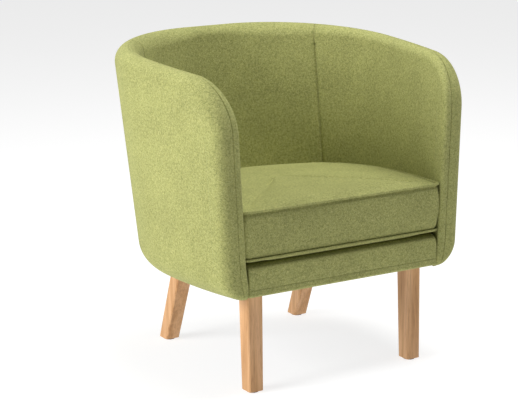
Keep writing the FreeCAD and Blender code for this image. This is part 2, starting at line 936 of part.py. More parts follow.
def make_piping(height):
    """A fabric-covered cord sewn into the seam all round the cushion."""
    reach = piping_radius + piping_clearance
    points = cushion_wire(height, cushion_clearance - reach, cushion_front(height) - reach,
                          cushion_corner_radius + reach)
    total = len(points)
    outlines = []
    for k, here in enumerate(points):
        ahead = (points[(k + 1) % total] - here).normalize() + (here - points[k - 1]).normalize()
        out = ahead.cross(Vector(0, 0, 1)).normalize()
        turns = [2 * math.pi * n / piping_sides for n in range(piping_sides)]
        spokes = [out * math.cos(t) + Vector(0, 0, math.sin(t)) for t in turns]
        outlines.append([here + spoke * piping_radius for spoke in spokes])
    return loft(outlines, closed=True)


def export(name, shape):
    if isinstance(shape, list):
        shape = Part.makeCompound(shape)
    shape.exportStep("parts/" + name + ".step")
    solids = shape.Solids
    print(name, len(solids), "solids", round(sum(s.Volume for s in solids) / 1000, 1), "cm3",
          "valid" if shape.isValid() else "INVALID")


def export_pair(name, right):
    export(name + "_right", right)
    export(name + "_left", mirror_x(right))


def main():
    os.makedirs("parts", exist_ok=True)

    # Covers of the shell
    export("outer_cover", make_outer_cover())
    export_pair("inner_side_cover", make_inner_side_cover())
    export("inner_back_cover", make_inner_back_cover())

    # Foam of the shell
    export_pair("arm_foam", make_arm_foam())
    export_pair("arm_front_pad", make_arm_front_pad())
    export("back_foam", make_back_foam())

    # Frame of the shell
    export_pair("side_board", make_side_board())
    export("back_board", make_back_board())
    rib_stations = side_to_crease()
    rib_stations[0] = side_station(arm_corner_radius + seat_gap)
    export_pair("top_rib", make_top_rib(rib_stations))
    export("top_rib_back", both_halves(make_top_rib(crease_to_middle())))
    export_pair("arm_post", make_arm_post())
    corner_post, back_post, arm_straps, back_straps, middle_strap = make_posts_and_straps()
    export_pair("corner_post", corner_post)
    export("back_posts", [back_post, mirror_x(back_post)])
    rib_left, rib_right, rib_back = split_rib(make_bottom_rib_plate())
    export("bottom_rib_left", rib_left)
    export("bottom_rib_right", rib_right)
    export("bottom_rib_back", rib_back)

    # Straps inside the wall
    export("arm_straps", arm_straps + [mirror_x(strap) for strap in arm_straps])
    export("back_straps", back_straps + [mirror_x(strap) for strap in back_straps] + [middle_strap])

    # Rails, corner blocks and seat deck
    export("front_rail", make_front_rail())
    export_pair("side_rail", make_side_rail())
    export("back_rail", make_back_rail())
    export_pair("front_block", make_block(front_leg_ends, rail_back, 1))
    export_pair("rear_block", make_block(rear_leg_ends, back_rail_inner, -1))
    export("front_rail_foam", make_front_rail_foam())
    export("front_rail_cover", make_front_rail_cover())
    export("seat_straps_along", make_straps_along())
    export("seat_straps_across", make_straps_across())
    export("deck_pad", make_deck_pad())
    export("deck_cloth", make_deck_cloth())
    export("dust_cloth", make_dust_cloth())

    # Legs and what holds them
    both = (front_leg_ends, rear_leg_ends)
    export_pair("front_leg", make_leg(front_leg_ends))
    export_pair("rear_leg", make_leg(rear_leg_ends))
    glides = [make_glide(ends) for ends in both]
    export("glides", glides + [mirror_x(g) for g in glides])
    bolts = [make_bolt(ends) for ends in both]
    nuts = [make_nut(ends) for ends in both]
    export("hanger_bolts", bolts + [mirror_x(b) for b in bolts])
    export("hex_nuts", nuts + [mirror_x(n) for n in nuts])

    # Loose cushion
    core, top, bottom, border = make_cushion()
    export("cushion_foam", core)
    export("cushion_top", top)
    export("cushion_bottom", bottom)
    export("cushion_border", border)
    export("zip_tape", make_zip_tape())
    export("zip_chain", make_zip_chain())
    export("zip_slider", make_zip_slider())
    for name, height in (("piping_top", seam_high), ("piping_bottom", seam_low)):
        export(name, make_piping(height))


main()
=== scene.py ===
import math

import bmesh
import bpy
import numpy as np
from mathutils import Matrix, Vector


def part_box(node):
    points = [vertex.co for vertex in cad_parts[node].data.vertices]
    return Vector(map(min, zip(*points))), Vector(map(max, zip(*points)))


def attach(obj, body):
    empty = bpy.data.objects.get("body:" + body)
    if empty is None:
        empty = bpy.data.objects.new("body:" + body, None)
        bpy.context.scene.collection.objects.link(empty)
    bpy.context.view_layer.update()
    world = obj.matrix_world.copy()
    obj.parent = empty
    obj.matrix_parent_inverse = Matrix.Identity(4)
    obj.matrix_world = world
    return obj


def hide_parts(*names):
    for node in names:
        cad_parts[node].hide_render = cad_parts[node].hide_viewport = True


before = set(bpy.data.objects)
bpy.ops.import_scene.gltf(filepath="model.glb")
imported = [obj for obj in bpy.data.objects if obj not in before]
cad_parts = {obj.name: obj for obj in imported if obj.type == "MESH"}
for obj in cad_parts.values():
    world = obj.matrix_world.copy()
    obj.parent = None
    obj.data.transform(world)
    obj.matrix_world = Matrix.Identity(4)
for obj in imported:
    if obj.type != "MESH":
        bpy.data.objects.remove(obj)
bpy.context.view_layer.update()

# A tub chair: felt covers over a U-shaped wall, a loose boxed cushion and raked oak legs. Metres.
MM = 0.001

# Wall of the shell, as in the frame
overall_height = 765 * MM
base_height = 236 * MM
half_depth = 327.8 * MM
rim_half_width = 383 * MM
front_half_width = 349 * MM
rim_corner_radius = 325 * MM
rim_rise = 31 * MM
side_draft = 25 * MM
back_draft = 103.5 * MM
front_draft = 9 * MM
wall = 59 * MM
back_panel_radius = 403 * MM
crease_angle = math.radians(43)
arm_corner_radius = 119 * MM
rim_outer_round = 38 * MM
base_round = 58 * MM
arm_outer_edge = 24 * MM
arm_inner_edge = 11 * MM
arm_base_edge = 20 * MM
front_seam_depth = 39 * MM
edge_band = 46 * MM
arm_flare = 6 * MM
arm_flare_height = 85 * MM

# Places worked out from the wall's sizes
shell_height = overall_height - base_height
back_slope = back_draft / shell_height
rim_front_y = -half_depth + front_draft * (1 - arm_base_edge / shell_height)
rim_back_y = half_depth + rim_outer_round * (1 + back_slope - math.hypot(1, back_slope))
corner_x = rim_half_width - rim_corner_radius
corner_y = rim_back_y - rim_corner_radius
back_shift = back_draft - side_draft
side_run = corner_y - rim_front_y
side_sweep = rim_half_width - front_half_width
side_radius = (side_run ** 2 + side_sweep ** 2) / (2 * side_sweep)
crease_run = side_run + crease_angle * rim_corner_radius
corner_end = side_run + math.pi / 2 * rim_corner_radius
middle_run = corner_end + corner_x

# Covers
felt_thickness = 1.4 * MM
seam_roll = 2.2 * MM
seam_tuck = 2.0 * MM
rim_tuck = 0.8 * MM
rim_tuck_start = 110 * MM
rim_tuck_run = 150 * MM
crease_tuck = 2.2 * MM
rim_step = 9 * MM
base_steps = 14
front_steps = 36
turn_steps = 20
band_steps = 18
seam_travels = [0, 0.4 * MM, 0.9 * MM, 1.5 * MM, 2.3 * MM, 3.4 * MM, 5 * MM, 8 * MM]

# Front rail
rail_round = 20 * MM
rail_depth = 34 * MM
rail_low_round = 8 * MM
rail_end_round = 5 * MM
rail_swell = 1.0 * MM
rail_line_rise = 19 * MM
rail_groove_depth = 1.3 * MM
rail_groove_half = 2.6 * MM
rail_low_rise = 24 * MM
rail_end_gap = 0.4 * MM

# Stitches
stitch_length = 3.6 * MM
stitch_gap = 1.4 * MM
stitch_radius = 0.42 * MM
arm_stitch_offset = 5.0 * MM
rail_stitch_offset = 3.1 * MM

# Loose cushion
seam_low = 327.4 * MM
seam_high = 437.4 * MM
top_crown = 16 * MM
bottom_crown = 11 * MM
cushion_clearance = 5 * MM
cushion_pitch = 0.064
cushion_round = 9 * MM
cushion_bulge = 6 * MM
cushion_corner = 16 * MM
cushion_setback = 8 * MM
top_round = 30 * MM
piping_radius = 3.0 * MM
piping_top_rise = 1.5 * MM
piping_bottom_drop = 0.4 * MM
panel_half_width = 270 * MM
crown_reach = 150 * MM
front_corner_x = 262 * MM
corner_pinch = 40 * MM
seam_draw = 2.2 * MM
seam_draw_reach = 5 * MM
bulge_reach = 60 * MM
panel_centre_y = -20 * MM
panel_shares = [1.0, 0.998, 0.995, 0.99, 0.98, 0.965, 0.945, 0.92, 0.88,
                0.83, 0.76, 0.68, 0.58, 0.46, 0.33, 0.2, 0.08]
border_steps = 36
air_pressure = 1.2
cover_stiffness = 18
cover_bending = 40
swell_frames = 16
swell_limit = 1.5 * MM

# Camera and light
camera_distance = 4.3104
camera_target = Vector((-0.0944, -0.0961, 0.4010))
camera_azimuth = math.radians(-32.158)
camera_elevation = math.radians(13.594)
camera_lens = 125.69


# Places on the wall

def smooth(value):
    value = min(max(value, 0.0), 1.0)
    return value * value * (3 - 2 * value)


def station(run):
    """Origin on the rim's outside, inward direction, forward lean and thickness at a run along the wall."""
    if run <= side_run:
        y = rim_front_y + run
        x = rim_half_width - (side_radius - math.sqrt(side_radius ** 2 - (y - corner_y) ** 2))
        forward = front_draft + (back_shift - front_draft) * run / side_run
        return Vector((x, y, 0)), Vector((-1, 0, 0)), forward, wall
    if run < corner_end:
        angle = (run - side_run) / rim_corner_radius
        outward = Vector((math.cos(angle), math.sin(angle), 0))
        origin = Vector((corner_x, corner_y, 0)) + outward * rim_corner_radius
        if angle < crease_angle:
            grown = panel_thickness(crease_angle) - wall
            thickness = wall + grown * (angle / crease_angle) ** 2
        else:
            thickness = panel_thickness(angle)
        return origin, -outward, back_shift, thickness
    x = middle_run - run
    thickness = wall + back_panel_radius - math.sqrt(back_panel_radius ** 2 - x ** 2)
    return Vector((x, rim_back_y, 0)), Vector((0, -1, 0)), back_shift, thickness


def panel_thickness(angle):
    outward = Vector((math.cos(angle), math.sin(angle), 0))
    away = Vector((corner_x, corner_y - (rim_back_y - wall - back_panel_radius), 0))
    along = away.dot(outward)
    return rim_corner_radius + along - math.sqrt(along ** 2 - away.dot(away) + back_panel_radius ** 2)


def place(run, depth, height):
    """A point of the right half of the wall; a run past the middle gives the left half."""
    mirror = run > middle_run
    if mirror:
        run = 2 * middle_run - run
    origin, inward, forward, _ = station(run)
    share = (overall_height - height) / shell_height
    point = origin + inward * (depth + side_draft * share)
    point.y -= forward * share
    point.z = height
    if mirror:
        point.x = -point.x
    return point


def thickness_at(run):
    return station(min(run, 2 * middle_run - run))[3]


def rim_line(run):
    origin = station(min(max(run, 0), 2 * middle_run - run))[0]
    return overall_height - rim_rise * (rim_back_y - origin.y) / (rim_back_y - rim_front_y)


class Edge:
    """One place on the wall's outline: up the front, round the corner, along the rim to the middle."""

    def __init__(self, height=None, turn=None, run=None):
        self.height, self.turn, self.run = height, turn, run
        if run is None:
            self.share = 0.0 if turn is None else smooth(turn / (math.pi / 2))
        else:
            self.share = 1.0
        self.thickness = wall if run is None else thickness_at(run)
        outer = arm_outer_edge + (rim_outer_round - arm_outer_edge) * self.share
        inner = arm_inner_edge + (self.thickness - rim_outer_round - arm_inner_edge) * self.share
        self.seam = front_seam_depth + (rim_outer_round - front_seam_depth) * self.share
        self.base_in, self.lift = 0.0, 0.0
        if height is not None and height < base_height + base_round:
            rise = height - base_height
            self.base_in = base_round - math.sqrt(max(base_round ** 2 - (base_round - rise) ** 2, 0))
            free = self.thickness - self.base_in
            outer = min(outer, free * 0.6)
            inner = min(inner, free * 0.3)
            if rise < arm_base_edge:
                self.lift = arm_base_edge - math.sqrt(arm_base_edge ** 2 - (arm_base_edge - rise) ** 2)
            self.seam = max(self.seam, self.base_in + free * 0.68)
        self.outer, self.inner = outer, max(inner, 0.0001)
        self.seam = max(self.seam, self.base_in + self.outer)

    def section(self, travel, inset=0.0):
        """Depth and distance from the edge at a travel from the seam; negative travel is outside."""
        q = abs(travel)
        if travel <= 0:
            radius, sign, start = self.outer, -1, self.base_in
            flat = self.seam - self.base_in - radius
        else:
            radius, sign, start = self.inner, 1, self.thickness
            flat = self.thickness - self.seam - radius
        flat = max(flat, 0.0)
        if q <= flat:
            depth, distance = self.seam + sign * q, 0.0
            normal = (0.0, -1.0)
        elif q <= flat + radius * math.pi / 2:
            a = (q - flat) / radius
            depth = self.seam + sign * (flat + radius * math.sin(a))
            distance = radius * (1 - math.cos(a))
            normal = (sign * math.sin(a), -math.cos(a))
        else:
            depth, distance = start, radius + q - flat - radius * math.pi / 2
            normal = (float(sign), 0.0)
        return depth - normal[0] * inset, distance - normal[1] * inset

    def length(self, outside):
        """Travel from the seam to the band's border."""
        radius = self.outer if outside else self.inner
        flat = (self.seam - self.base_in if outside else self.thickness - self.seam) - radius
        return max(flat, 0.0) + radius * math.pi / 2 + edge_band - radius

    def point(self, travel, inset=0.0):
        depth, distance = self.section(travel, inset)
        if self.run is not None:
            return place(self.run, depth, rim_line(self.run) - distance)
        if self.turn is not None:
            reach = arm_corner_radius - distance
            run = arm_corner_radius - reach * math.cos(self.turn)
            return place(run, depth, rim_line(run) - arm_corner_radius + reach * math.sin(self.turn))
        if depth > self.seam:
            near = smooth((base_height + arm_flare_height - self.height) / (0.7 * arm_flare_height))
            across = (depth - self.seam) / (self.thickness - self.seam)
            depth += arm_flare * near * across * max(1 - distance / edge_band, 0.0) ** 2
        return place(distance + self.lift, depth, self.height)


corner_foot = rim_line(0) - arm_corner_radius
base_turns = [math.pi / 2 * k / base_steps for k in range(base_steps + 1)]
front_heights = [base_height + base_round * (1 - math.cos(t)) for t in base_turns]
front_heights += [front_heights[-1] + (corner_foot - front_heights[-1]) * k / front_steps
                  for k in range(1, front_steps + 1)]
corner_turns = [math.pi / 2 * k / turn_steps for k in range(1, turn_steps + 1)]
rim_count = round((middle_run - arm_corner_radius) / rim_step)
rim_runs = [arm_corner_radius + (middle_run - arm_corner_radius) * k / rim_count
            for k in range(1, rim_count + 1)]
crease_place = min(range(len(rim_runs)), key=lambda k: abs(rim_runs[k] - crease_run))
rim_runs[crease_place] = crease_run


def tuck(travel, depth):
    """How far fabric rolls in where it meets a seam."""
    near = max(1 - abs(travel) / seam_roll, 0.0)
    return depth * near * near


edges = [Edge(height=z) for z in front_heights]
edges += [Edge(turn=t) for t in corner_turns]
edges += [Edge(run=r) for r in rim_runs]
front_rows = len(front_heights)


def band_travels(edge, outside):
    """Travels from the seam to the band's border, close together at the seam."""
    total = edge.length(outside)
    last = seam_travels[-1]
    return seam_travels + [last + (total - last) * k / band_steps for k in range(1, band_steps + 1)]


def band_rows(outside, first, last):
    """Grid of points from the seam to the band's border, for the outline's edges first to last."""
    rows = []
    for edge in edges[first:last]:
        sign = -1 if outside else 1
        depth = seam_tuck
        if edge.run is not None:
            depth -= (seam_tuck - rim_tuck) * smooth((edge.run - rim_tuck_start) / rim_tuck_run)
        rows.append([edge.point(sign * t, tuck(t, depth)) for t in band_travels(edge, outside)])
    return rows


def face_columns(outside, first, last):
    """Grid of the upright face, from the base or the seat up to the band's border."""
    columns = []
    for index in range(first, last):
        edge = edges[index]
        if edge.run is not None:
            run, top = edge.run, rim_line(edge.run) - edge_band
        else:
            turn = edge.turn or 0.0
            reach = arm_corner_radius - edge_band
            run = arm_corner_radius - reach * math.cos(turn)
            top = rim_line(run) - arm_corner_radius + reach * math.sin(turn)
        column = []
        foot = base_height + base_round
        if outside:
            for t in base_turns:
                column.append(place(run, base_round * (1 - math.sin(t)),
                                    base_height + base_round * (1 - math.cos(t))))
            for k in range(1, front_steps + 1):
                column.append(place(run, 0.0, foot + (top - foot) * k / front_steps))
        else:
            depth = thickness_at(run)
            crease = tuck(run - crease_run, crease_tuck)
            for z in front_heights[:base_steps + 1]:
                column.append(place(run, depth, z))
            for k in range(1, front_steps + 1):
                column.append(place(run, depth - crease, foot + (top - foot) * k / front_steps))
        columns.append(column)
    return columns


# Meshes

def add_grid(mesh, rows):
    """Quads between the neighbouring rows of a grid of points."""
    made = [[mesh.verts.new(p) for p in row] for row in rows]
    for near, far in zip(made, made[1:]):
        for k in range(len(near) - 1):
            mesh.faces.new((near[k], near[k + 1], far[k + 1], far[k]))


def mirrored(rows):
    """The same grid on the left half, wound the same way."""
    return [[Vector((-p.x, p.y, p.z)) for p in reversed(row)] for row in rows]


def add_rings(mesh, rings, closed=False):
    """Quads between rings of vertices, and back to the first ring where closed."""
    for near, far in zip(rings, rings[1:] + (rings[:1] if closed else [])):
        for k in range(len(near)):
            n = (k + 1) % len(near)
            mesh.faces.new((near[k], near[n], far[n], far[k]))


def finish_mesh(mesh, name, merge=0.05 * MM):
    bmesh.ops.remove_doubles(mesh, verts=mesh.verts, dist=merge)
    bmesh.ops.dissolve_degenerate(mesh, edges=mesh.edges, dist=0.01 * MM)
    bmesh.ops.recalc_face_normals(mesh, faces=mesh.faces)
    data = bpy.data.meshes.new(name)
    mesh.to_mesh(data)
    mesh.free()
    for face in data.polygons:
        face.use_smooth = True
    piece = bpy.data.objects.new(name, data)
    bpy.context.scene.collection.objects.link(piece)
    return piece


def face_along(piece, direction):
    """Turns an open sheet so that most of its area looks along a direction, given for each place."""
    total = 0.0
    for face in piece.data.polygons:
        total += face.area * (1 if direction(face.center).dot(face.normal) > 0 else -1)
    if total < 0:
        piece.data.flip_normals()


def apply_modifiers(piece):
    graph = bpy.context.evaluated_depsgraph_get()
    old, data = piece.data, bpy.data.meshes.new_from_object(piece.evaluated_get(graph))
    piece.modifiers.clear()
    piece.data = data
    bpy.data.meshes.remove(old)


def thicken(piece):
    """A sheet of felt gets its thickness, inwards from its face."""
    solid = piece.modifiers.new("thickness", "SOLIDIFY")
    solid.thickness = felt_thickness
    solid.offset = -1
    solid.use_even_offset = False
    apply_modifiers(piece)
    for face in piece.data.polygons:
        face.use_smooth = True


def make_outer_cover():
    mesh = bmesh.new()
    grids = [band_rows(True, 0, len(edges)), face_columns(True, front_rows - 1, len(edges))]
    for grid in grids:
        add_grid(mesh, grid)
        add_grid(mesh, mirrored(grid))
    piece = finish_mesh(mesh, "outer_cover_felt")
    face_along(piece, lambda p: Vector((p.x, p.y, 0)))
    thicken(piece)
    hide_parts("outer_cover", "back_foam", "arm_foam_left", "arm_foam_right",
                "arm_front_pad_left", "arm_front_pad_right")
    return piece


def make_inner_cover(name, first, last, sides, replaced):
    mesh = bmesh.new()
    grids = [band_rows(False, first, last), face_columns(False, max(first, front_rows - 1), last)]
    for grid in grids:
        if 1 in sides:
            add_grid(mesh, grid)
        if -1 in sides:
            add_grid(mesh, mirrored(grid))
    piece = finish_mesh(mesh, name)
    face_along(piece, lambda p: -Vector((p.x, p.y, 0)))
    thicken(piece)
    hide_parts(replaced)
    return piece


crease_index = front_rows + len(corner_turns) + crease_place
outer_cover = make_outer_cover()
inner_right = make_inner_cover("inner_side_felt_right", 0, crease_index + 1, (1,), "inner_side_cover_right")
inner_left = make_inner_cover("inner_side_felt_left", 0, crease_index + 1, (-1,), "inner_side_cover_left")
inner_back = make_inner_cover("inner_back_felt", crease_index, len(edges), (1, -1), "inner_back_cover")


# Stitches

def stitch_row(name, path):
    """A row of short threads along a line of points."""
    marks = [0.0]
    for a, b in zip(path, path[1:]):
        marks.append(marks[-1] + (b - a).length)

    def at(travel):
        for k in range(len(path) - 1):
            if travel <= marks[k + 1] or k == len(path) - 2:
                share = (travel - marks[k]) / max(marks[k + 1] - marks[k], 1e-9)
                return path[k].lerp(path[k + 1], share)
    mesh = bmesh.new()
    pitch = stitch_length + stitch_gap
    for n in range(int(marks[-1] / pitch)):
        a, b = at(n * pitch), at(n * pitch + stitch_length)
        axis = (b - a).normalized()
        side = axis.cross(Vector((0.31, 0.27, 0.91))).normalized()
        up = axis.cross(side)
        rings = []
        for share, size in ((0.0, 0.35), (0.18, 1.0), (0.82, 1.0), (1.0, 0.35)):
            centre = a.lerp(b, share)
            radius = stitch_radius * size
            rings.append([mesh.verts.new(centre + (side * math.cos(t) + up * math.sin(t)) * radius)
                          for t in (k * math.pi / 3 for k in range(6))])
        add_rings(mesh, rings)
        mesh.faces.new(rings[0][::-1])
        mesh.faces.new(rings[-1])
    return finish_mesh(mesh, name, merge=0.001 * MM)


def front_stitches():
    """Topstitch beside the seam on each arm's front, from above the base to the rim's corner."""
    row = [edge.point(arm_stitch_offset, 0.1 * MM) for edge in edges[12:front_rows + 17]]
    right = stitch_row("front_stitches_right", row)
    left = stitch_row("front_stitches_left", [Vector((-p.x, p.y, p.z)) for p in row])
    return right, left


stitch_right, stitch_left = front_stitches()


# Front rail

def front_face_y(height):
    return rim_front_y - front_draft * (overall_height - height) / shell_height


def rail_profile(face, low, top, line_height):
    """Section of the rail from its lower edge up the face and over the top to its back."""
    profile = []
    for k in range(9):
        t = math.pi / 2 * k / 8
        profile.append((face + rail_low_round * (1 - math.sin(t)),
                        low + rail_low_round * (1 - math.cos(t))))
    height = top - rail_round
    start = low + rail_low_round
    for z in [start + (height - low - rail_low_round) * k / 30 for k in range(1, 30)]:
        groove = rail_groove_depth * max(1 - abs(z - line_height) / rail_groove_half, 0.0)
        swell = rail_swell * math.sin(math.pi * (z - low) / (top - low))
        profile.append((face + groove + rail_swell - swell, z))
    for k in range(11):
        t = math.pi / 2 * k / 10
        profile.append((face + rail_swell + rail_round * (1 - math.cos(t)),
                        height + rail_round * math.sin(t)))
    return profile + [(face + rail_depth, top), (face + rail_depth, low)]


def rail_stations(half):
    """Places along the rail with how far its rolled ends draw in there, from 0 to 1."""
    turns = [math.pi / 2 * k / 8 for k in range(9)]
    stations = [(-half + rail_end_round * (1 - math.cos(t)), 1 - math.sin(t)) for t in turns]
    inner_half = half - rail_end_round
    stations += [(-inner_half + 2 * inner_half * k / 60, 0.0) for k in range(1, 60)]
    return stations + [(-x, draw) for x, draw in stations[8::-1]]


def make_front_rail():
    """Padded rail between the arms with a rolled top, rolled ends and a sewn line."""
    low_node, high_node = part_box("front_rail_cover")
    half = high_node.x - rail_end_gap
    face, low, top = low_node.y, low_node.z, high_node.z
    line_height = low + rail_line_rise
    profile = rail_profile(face, low, top, line_height)
    stations = rail_stations(half)
    mesh = bmesh.new()
    rows = []
    for x, draw in stations:
        row = []
        for y, z in profile:
            back = min((y - face) / rail_depth, 1.0)
            sink = draw * rail_end_round * 0.8 * (1 - back)
            drop = draw * rail_end_round * 0.55 * smooth((z - low) / (top - low) * 1.5 - 0.5)
            raise_low = draw * rail_end_round * 0.8 * smooth(1 - (z - low) / rail_low_rise)
            row.append(mesh.verts.new((x, y + sink, z - drop + raise_low)))
        rows.append(row)
    add_rings(mesh, rows)
    mesh.faces.new(rows[0][::-1])
    mesh.faces.new(rows[-1])
    piece = finish_mesh(mesh, "front_rail_felt")
    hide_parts("front_rail_cover", "front_rail_foam")
    stitches = []
    for ending, offset in (("low", -rail_stitch_offset), ("high", rail_stitch_offset)):
        line = []
        for x, draw in stations:
            if abs(x) < half - 3 * MM:
                sink = draw * rail_end_round * 0.8
                rise = sink * smooth(1 - rail_line_rise / rail_low_rise)
                line.append(Vector((x, face + 0.35 * MM + sink, line_height + offset + rise)))
        stitches.append(stitch_row("rail_stitches_" + ending, line))
    return piece, stitches


rail, rail_stitches = make_front_rail()


# Loose cushion

def cushion_fall(point):
    """How far the cushion's upper edge lies lower here than at its front."""
    share = min(max((point.z - seam_low) / (seam_high - seam_low), 0.0), 1.0)
    return cushion_pitch * max(point.y - front_face_y(seam_high), 0.0) * share


def cushion_plan(height, side=0.0, front=0.0, corner=0.0):
    """Right half of the cushion's plan at a height, from the front's middle to the back's middle."""
    share = (overall_height - height) / shell_height
    radius = max(cushion_corner + corner, 1 * MM)
    front_y = front_face_y(height) + cushion_setback + front
    squeeze = (back_shift - front_draft) * share / side_run
    start = (front_y + radius - rim_front_y + front_draft * share) / (1 - squeeze)
    clearance = cushion_clearance + side

    def inside(run):
        depth = thickness_at(run) + clearance
        level = place(run, depth, height)
        lowered = place(run, depth, height - cushion_fall(level))
        return Vector((lowered.x, lowered.y, height))
    first = inside(start)
    corner_at = Vector((first.x - radius, front_y + radius, height))
    points = [Vector((corner_at.x * k / 24, front_y, height)) for k in range(24)]
    points += [corner_at + Vector((math.sin(t), -math.cos(t), 0)) * radius
               for t in (math.pi / 2 * k / 8 for k in range(9))]
    points += [inside(start + (side_run - start) * k / 22) for k in range(1, 23)]
    turn = [inside(side_run + crease_angle * rim_corner_radius * k / 18) for k in range(1, 19)]
    points += turn
    last, middle = turn[-1], inside(middle_run)
    drop = middle.y - last.y
    radius_back = (last.x ** 2 + drop ** 2) / (2 * drop)
    spread = math.asin(min(last.x / radius_back, 1.0))
    points += [Vector((radius_back * math.sin(t), middle.y - radius_back * (1 - math.cos(t)), height))
               for t in (spread * (1 - k / 14) for k in range(1, 15))]
    return points


def whole_plan(*sizes):
    """The plan's right half and its mirror image, once round."""
    right = cushion_plan(*sizes)
    return right + [Vector((-p.x, p.y, p.z)) for p in reversed(right[1:-1])]


def pitched(point):
    """The point on the tipped cushion that a point of the level one goes to."""
    return point - Vector((0, 0, cushion_fall(point)))


def panel(seam, share, rise, edge):
    """Plan shrunk towards the middle of the seat, raised on a rounded edge and a crown."""
    inset = (1 - share) * panel_half_width
    round_part = math.sqrt(max(1 - (1 - min(inset / edge, 1.0)) ** 2, 0.0))
    crown_part = 1 - (1 - min(inset / crown_reach, 1.0)) ** 2.2
    round_share = 0.85 if rise < 0 else 0.45
    level = []
    for p in whole_plan(seam):
        corner = Vector((abs(p.x) - front_corner_x, p.y - front_face_y(seam)))
        pinch = 1 - 0.8 * math.exp(-(corner.length / corner_pinch) ** 2)
        lift = rise * (round_share * round_part * pinch + (1 - round_share) * crown_part)
        level.append(Vector((p.x * share, panel_centre_y + (p.y - panel_centre_y) * share,
                             seam + lift)))
    return level


def border_level(share):
    """Plan of the border at a share of its height, bulging to the front and round its front corners."""
    height = seam_low + (seam_high - seam_low) * share
    swell = math.sin(math.pi * share) ** 0.8
    level = []
    for p in whole_plan(height):
        front = smooth(1 - (p.y - front_face_y(height) - cushion_setback) / bulge_reach)
        near_seam = min(share, 1 - share) * (seam_high - seam_low)
        drawn = seam_draw * math.exp(-(near_seam / seam_draw_reach) ** 2)
        out = cushion_bulge * swell * front - drawn * front
        edge = smooth((abs(p.x) - 200 * MM) / (70 * MM))
        level.append(p + Vector((math.copysign(edge, p.x) * out, -out, 0)))
    return level


def make_cushion():
    """Closed boxed cushion: crowned bottom, border and crowned top."""
    levels = [panel(seam_low, share, -bottom_crown, cushion_round) for share in reversed(panel_shares)]
    levels += [border_level(k / border_steps) for k in range(1, border_steps)]
    levels += [panel(seam_high, share, top_crown, top_round) for share in panel_shares]
    mesh = bmesh.new()
    made = [[mesh.verts.new(pitched(p)) for p in level] for level in levels]
    count = len(made[0])
    add_rings(mesh, made)
    for level in (made[0], made[-1]):
        tip = mesh.verts.new(sum((v.co for v in level), Vector()) / count)
        for k in range(count):
            mesh.faces.new((level[k], level[(k + 1) % count], tip))
    piece = finish_mesh(mesh, "cushion_felt", merge=0.02 * MM)
    swell_cushion(piece)
    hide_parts("cushion_top", "cushion_bottom", "cushion_foam", "cushion_border")
    return piece


def swell_cushion(piece):
    """Air pressure in the cover, held at its seams and underneath, swells the border and the top."""
    data = piece.data
    before = np.empty(len(data.vertices) * 3)
    data.vertices.foreach_get("co", before)
    before = before.reshape(-1, 3)
    top_seam = seam_high - cushion_pitch * np.maximum(before[:, 1] - front_face_y(seam_high), 0)
    on_seam = np.minimum(abs(before[:, 2] - seam_low), abs(before[:, 2] - top_seam)) < 0.3 * MM
    held = [int(i) for i in np.nonzero(on_seam | (before[:, 2] < seam_low - 6 * MM))[0]]
    group = piece.vertex_groups.new(name="seams")
    group.add(held, 1.0, "REPLACE")
    cloth = piece.modifiers.new("cloth", "CLOTH")
    cloth.settings.use_pressure = True
    cloth.settings.uniform_pressure_force = air_pressure
    cloth.settings.vertex_group_mass = "seams"
    cloth.settings.tension_stiffness = cover_stiffness
    cloth.settings.compression_stiffness = cover_stiffness
    cloth.settings.bending_stiffness = cover_bending
    cloth.settings.effector_weights.gravity = 0
    cloth.point_cache.frame_start, cloth.point_cache.frame_end = 1, swell_frames
    scene = bpy.context.scene
    for number in range(1, swell_frames + 1):
        scene.frame_set(number)
    graph = bpy.context.evaluated_depsgraph_get()
    after = np.empty(len(before) * 3)
    piece.evaluated_get(graph).data.vertices.foreach_get("co", after)
    after = after.reshape(-1, 3)
    piece.modifiers.clear()
    scene.frame_set(1)
    move = after - before
    size = np.linalg.norm(move, axis=1)
    limit = np.minimum(1.0, swell_limit / np.maximum(size, 1e-9))
    data.vertices.foreach_set("co", (before + move * limit[:, None]).ravel())
    data.update()


def make_piping(name, height, replaced):
    """Felt piping sewn round the cushion at a seam."""
    out = piping_radius * 0.9
    points = [pitched(p) for p in whole_plan(height, -out, -out, out)]
    mesh = bmesh.new()
    rings = []
    total = len(points)
    for k, here in enumerate(points):
        ahead = (points[(k + 1) % total] - points[k - 1]).normalized()
        out = ahead.cross(Vector((0, 0, 1))).normalized()
        turns = [2 * math.pi * n / 12 for n in range(12)]
        spokes = [out * math.cos(t) + Vector((0, 0, math.sin(t))) for t in turns]
        rings.append([mesh.verts.new(here + spoke * piping_radius) for spoke in spokes])
    add_rings(mesh, rings, closed=True)
    piece = finish_mesh(mesh, name, merge=0.001 * MM)
    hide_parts(replaced)
    return piece


cushion = make_cushion()
piping_top = make_piping("piping_top_felt", seam_high + piping_top_rise, "piping_top")
piping_bottom = make_piping("piping_bottom_felt", seam_low - piping_bottom_drop, "piping_bottom")


# Materials

def new_material(name):
    material = bpy.data.materials.new(name)
    material.use_nodes = True
    nodes, links = material.node_tree.nodes, material.node_tree.links
    shader = nodes["Principled BSDF"]
    return material, nodes, links, shader


def noise(nodes, links, where, scale, detail=3.0, rough=0.6):
    node = nodes.new("ShaderNodeTexNoise")
    node.inputs["Scale"].default_value = scale
    node.inputs["Detail"].default_value = detail
    node.inputs["Roughness"].default_value = rough
    links.new(where, node.inputs["Vector"])
    return node.outputs["Fac"]


